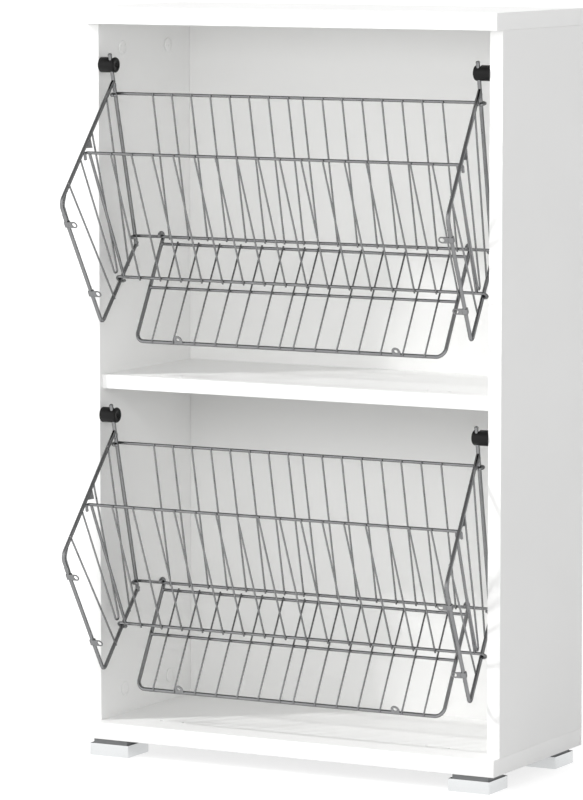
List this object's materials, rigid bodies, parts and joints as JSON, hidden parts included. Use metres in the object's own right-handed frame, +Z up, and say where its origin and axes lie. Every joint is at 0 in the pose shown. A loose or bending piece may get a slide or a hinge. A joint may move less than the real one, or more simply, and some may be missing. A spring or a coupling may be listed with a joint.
{
  "type": "shoe cabinet",
  "caption": "White board shoe cabinet on low feet: open compartments one above the other, each with a wire shoe basket that tilts out at the front.",
  "frame": {"origin": "middle of the whole cabinet's footprint on the floor, with the baskets open", "axes": "+X to the right seen from the front, +Y to the back, +Z up"},
  "size_m": [0.6, 0.3512, 0.982],
  "materials": {
    "white_board": "white melamine-faced board with matching edge band, smooth satin",
    "back_board": "thin white-faced fibreboard",
    "zinc": "die-cast zinc fitting, dull",
    "cap_plastic": "white cover cap",
    "dowel_wood": "bare beech",
    "foot_chrome": "bright chrome-plated sheet",
    "foot_plastic": "grey moulded plastic",
    "stop_plastic": "black moulded plastic",
    "chrome_wire": "bright plated steel wire with welded crossings"
  },
  "bodies": {
    "carcass": {"top_panel": "white_board", "bottom_panel": "white_board", "side_panel_left": "white_board", "side_panel_right": "white_board", "middle_shelf": "white_board", "back_panel": "back_board", "cam_lock_left_top_front": "zinc", "cam_lock_left_top_rear": "zinc", "cam_lock_left_bottom_front": "zinc", "cam_lock_left_bottom_rear": "zinc", "cam_lock_right_top_front": "zinc", "cam_lock_right_top_rear": "zinc", "cam_lock_right_bottom_front": "zinc", "cam_lock_right_bottom_rear": "zinc", "cam_cap_left_top_front": "cap_plastic", "cam_cap_left_top_rear": "cap_plastic", "cam_cap_left_bottom_front": "cap_plastic", "cam_cap_left_bottom_rear": "cap_plastic", "cam_cap_right_top_front": "cap_plastic", "cam_cap_right_top_rear": "cap_plastic", "cam_cap_right_bottom_front": "cap_plastic", "cam_cap_right_bottom_rear": "cap_plastic", "cam_bolt_left_top_front": "zinc", "cam_bolt_left_top_rear": "zinc", "cam_bolt_left_bottom_front": "zinc", "cam_bolt_left_bottom_rear": "zinc", "cam_bolt_right_top_front": "zinc", "cam_bolt_right_top_rear": "zinc", "cam_bolt_right_bottom_front": "zinc", "cam_bolt_right_bottom_rear": "zinc", "shelf_dowel_left_front": "dowel_wood", "shelf_dowel_left_rear": "dowel_wood", "shelf_dowel_right_front": "dowel_wood", "shelf_dowel_right_rear": "dowel_wood", "foot_shell_left_front": "foot_chrome", "foot_shell_left_rear": "foot_chrome", "foot_shell_right_front": "foot_chrome", "foot_shell_right_rear": "foot_chrome", "foot_block_left_front": "foot_plastic", "foot_block_left_rear": "foot_plastic", "foot_block_right_front": "foot_plastic", "foot_block_right_rear": "foot_plastic", "stop_upper_left": "stop_plastic", "stop_upper_right": "stop_plastic", "stop_lower_left": "stop_plastic", "stop_lower_right": "stop_plastic"},
    "basket_upper": {"upper_side_frame_left": "chrome_wire", "upper_side_frame_right": "chrome_wire", "upper_rear_grid": "chrome_wire", "upper_front_grid": "chrome_wire", "upper_floor_grid": "chrome_wire"},
    "basket_lower": {"lower_side_frame_left": "chrome_wire", "lower_side_frame_right": "chrome_wire", "lower_rear_grid": "chrome_wire", "lower_front_grid": "chrome_wire", "lower_floor_grid": "chrome_wire"}
  },
  "joints": [
    {"name": "basket_upper_tilt", "type": "hinge", "parent": "carcass", "child": "basket_upper", "pos_m": [0, -0.06141, 0.534], "axis": [-1, 0, 0], "range_deg": [0, 28.66]},
    {"name": "basket_lower_tilt", "type": "hinge", "parent": "carcass", "child": "basket_lower", "pos_m": [0, -0.06141, 0.077], "axis": [-1, 0, 0], "range_deg": [0, 28.66]}
  ]
}
